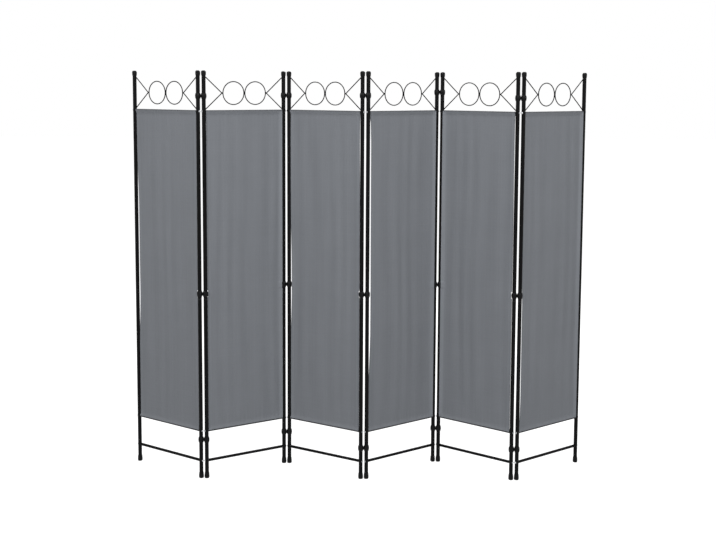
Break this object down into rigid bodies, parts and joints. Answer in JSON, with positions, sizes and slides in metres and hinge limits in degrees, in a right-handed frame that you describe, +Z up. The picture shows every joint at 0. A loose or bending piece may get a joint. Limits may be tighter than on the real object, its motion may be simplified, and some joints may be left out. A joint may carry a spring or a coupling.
{
  "type": "folding screen",
  "caption": "Freestanding folding room divider with grey cloth panels in black steel tube frames, wire ring scrollwork tops and clips that fold both ways.",
  "frame": {"origin": "on the floor under the middle of the screen as it stands at rest, folded in a zigzag", "axes": "+X along the screen's length from panel 1 to panel 6, +Y to its back, +Z up"},
  "size_m": [2.044, 0.2552, 1.8],
  "materials": {
    "frame_steel": "black semi-gloss powder coat",
    "panel_cloth": "plain woven grey polyester",
    "black_plastic": "moulded, satin",
    "zinc_steel": "bright zinc plate"
  },
  "bodies": {
    "panel_1": {"panel_1_left_pole": "frame_steel", "panel_1_right_pole": "frame_steel", "panel_1_crossbar": "frame_steel", "panel_1_hem_rods": "frame_steel", "panel_1_cloth": "panel_cloth", "panel_1_scroll": "frame_steel", "panel_1_caps": "black_plastic", "panel_1_feet": "black_plastic", "panel_1_fixings": "zinc_steel"},
    "panel_2": {"panel_2_left_pole": "frame_steel", "panel_2_right_pole": "frame_steel", "panel_2_crossbar": "frame_steel", "panel_2_hem_rods": "frame_steel", "panel_2_cloth": "panel_cloth", "panel_2_scroll": "frame_steel", "panel_2_caps": "black_plastic", "panel_2_feet": "black_plastic", "panel_2_fixings": "zinc_steel"},
    "panel_3": {"panel_3_left_pole": "frame_steel", "panel_3_right_pole": "frame_steel", "panel_3_crossbar": "frame_steel", "panel_3_hem_rods": "frame_steel", "panel_3_cloth": "panel_cloth", "panel_3_scroll": "frame_steel", "panel_3_caps": "black_plastic", "panel_3_feet": "black_plastic", "panel_3_fixings": "zinc_steel"},
    "panel_4": {"panel_4_left_pole": "frame_steel", "panel_4_right_pole": "frame_steel", "panel_4_crossbar": "frame_steel", "panel_4_hem_rods": "frame_steel", "panel_4_cloth": "panel_cloth", "panel_4_scroll": "frame_steel", "panel_4_caps": "black_plastic", "panel_4_feet": "black_plastic", "panel_4_fixings": "zinc_steel"},
    "panel_5": {"panel_5_left_pole": "frame_steel", "panel_5_right_pole": "frame_steel", "panel_5_crossbar": "frame_steel", "panel_5_hem_rods": "frame_steel", "panel_5_cloth": "panel_cloth", "panel_5_scroll": "frame_steel", "panel_5_caps": "black_plastic", "panel_5_feet": "black_plastic", "panel_5_fixings": "zinc_steel"},
    "panel_6": {"panel_6_left_pole": "frame_steel", "panel_6_right_pole": "frame_steel", "panel_6_crossbar": "frame_steel", "panel_6_hem_rods": "frame_steel", "panel_6_cloth": "panel_cloth", "panel_6_scroll": "frame_steel", "panel_6_caps": "black_plastic", "panel_6_feet": "black_plastic", "panel_6_fixings": "zinc_steel"},
    "clips_1_2": {"clips_1_2": "black_plastic"},
    "clips_2_3": {"clips_2_3": "black_plastic"},
    "clips_3_4": {"clips_3_4": "black_plastic"},
    "clips_4_5": {"clips_4_5": "black_plastic"},
    "clips_5_6": {"clips_5_6": "black_plastic"}
  },
  "joints": [
    {"name": "fold_2_3_right", "type": "hinge", "parent": "panel_3", "child": "clips_2_3", "pos_m": [-0.31621, 0.08922, 0.9], "axis": [0, 0, 1], "range_deg": [-120.75, 59.25]},
    {"name": "fold_2_3_left", "type": "hinge", "parent": "clips_2_3", "child": "panel_2", "pos_m": [-0.3412, 0.08933, 0.9], "axis": [0, 0, 1], "range_deg": [-120.75, 59.25]},
    {"name": "fold_1_2_right", "type": "hinge", "parent": "panel_2", "child": "clips_1_2", "pos_m": [-0.67078, -0.10481, 0.9], "axis": [0, 0, -1], "range_deg": [-122.5, 57.5]},
    {"name": "fold_1_2_left", "type": "hinge", "parent": "clips_1_2", "child": "panel_1", "pos_m": [-0.69576, -0.10393, 0.9], "axis": [0, 0, -1], "range_deg": [-122.5, 57.5]},
    {"name": "fold_3_4_left", "type": "hinge", "parent": "panel_3", "child": "clips_3_4", "pos_m": [0.01166, -0.10779, 0.9], "axis": [0, 0, 1], "range_deg": [-123.25, 56.75]},
    {"name": "fold_3_4_right", "type": "hinge", "parent": "clips_3_4", "child": "panel_4", "pos_m": [0.03664, -0.1068, 0.9], "axis": [0, 0, 1], "range_deg": [-123.25, 56.75]},
    {"name": "fold_4_5_left", "type": "hinge", "parent": "panel_4", "child": "clips_4_5", "pos_m": [0.34804, 0.11532, 0.9], "axis": [0, 0, -1], "range_deg": [-126.25, 53.75]},
    {"name": "fold_4_5_right", "type": "hinge", "parent": "clips_4_5", "child": "panel_5", "pos_m": [0.37304, 0.11499, 0.9], "axis": [0, 0, -1], "range_deg": [-126.25, 53.75]},
    {"name": "fold_5_6_left", "type": "hinge", "parent": "panel_5", "child": "clips_5_6", "pos_m": [0.67852, -0.11521, 0.9], "axis": [0, 0, 1], "range_deg": [-126.75, 53.25]},
    {"name": "fold_5_6_right", "type": "hinge", "parent": "clips_5_6", "child": "panel_6", "pos_m": [0.70352, -0.11532, 0.9], "axis": [0, 0, 1], "range_deg": [-126.75, 53.25]}
  ]
}
